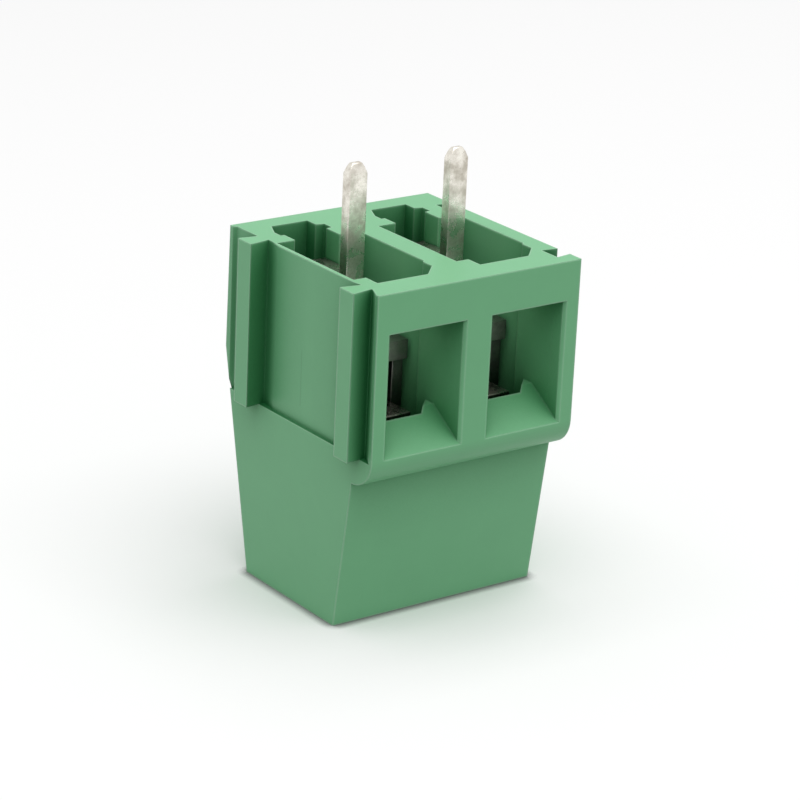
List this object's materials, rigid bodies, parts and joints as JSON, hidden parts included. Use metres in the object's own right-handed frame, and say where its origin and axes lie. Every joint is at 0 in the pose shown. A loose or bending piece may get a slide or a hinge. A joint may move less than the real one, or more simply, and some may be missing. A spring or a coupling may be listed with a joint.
{
  "type": "pcb screw terminal",
  "caption": "Two-pole rising-clamp screw terminal block for a circuit board: wires enter at the side, screws lift metal clamps against current bars, solder pins leave the seating face.",
  "frame": {"origin": "board seating plane, midway between the two solder pins", "axes": "+Z the way the pins leave the block, X along the poles, -Y the wire side"},
  "size_m": [0.0109, 0.0107, 0.0186],
  "materials": {
    "housing": "satin green moulding",
    "tinned": "tinned, mottled",
    "nickel": "nickel plated",
    "zinc": "zinc plated"
  },
  "bodies": {
    "base": {"housing": "housing", "contact_1": "tinned", "contact_2": "tinned"},
    "clamp_1": {"clamp_1": "nickel"},
    "clamp_2": {"clamp_2": "nickel"},
    "screw_1": {"screw_1": "zinc"},
    "screw_2": {"screw_2": "zinc"}
  },
  "joints": [
    {"name": "screw_1_turn", "type": "hinge", "parent": "base", "child": "screw_1", "pos_m": [-0.00254, 0, -0.012], "axis": [0, 0, 1], "range_deg": [-765, 1405]},
    {"name": "clamp_1_slide", "type": "slide", "parent": "base", "child": "clamp_1", "axis": [0, 0, 1], "range_m": [-0.00175, 0.00095]},
    {"name": "screw_2_turn", "type": "hinge", "parent": "base", "child": "screw_2", "pos_m": [0.00254, 0, -0.012], "axis": [0, 0, 1], "range_deg": [-765, 1405]},
    {"name": "clamp_2_slide", "type": "slide", "parent": "base", "child": "clamp_2", "axis": [0, 0, 1], "range_m": [-0.00175, 0.00095]}
  ],
  "couplings": [
    {"joint": "screw_1_turn", "follows": "clamp_1_slide", "rad_per_m": -13963},
    {"joint": "screw_2_turn", "follows": "clamp_2_slide", "rad_per_m": -13963}
  ]
}
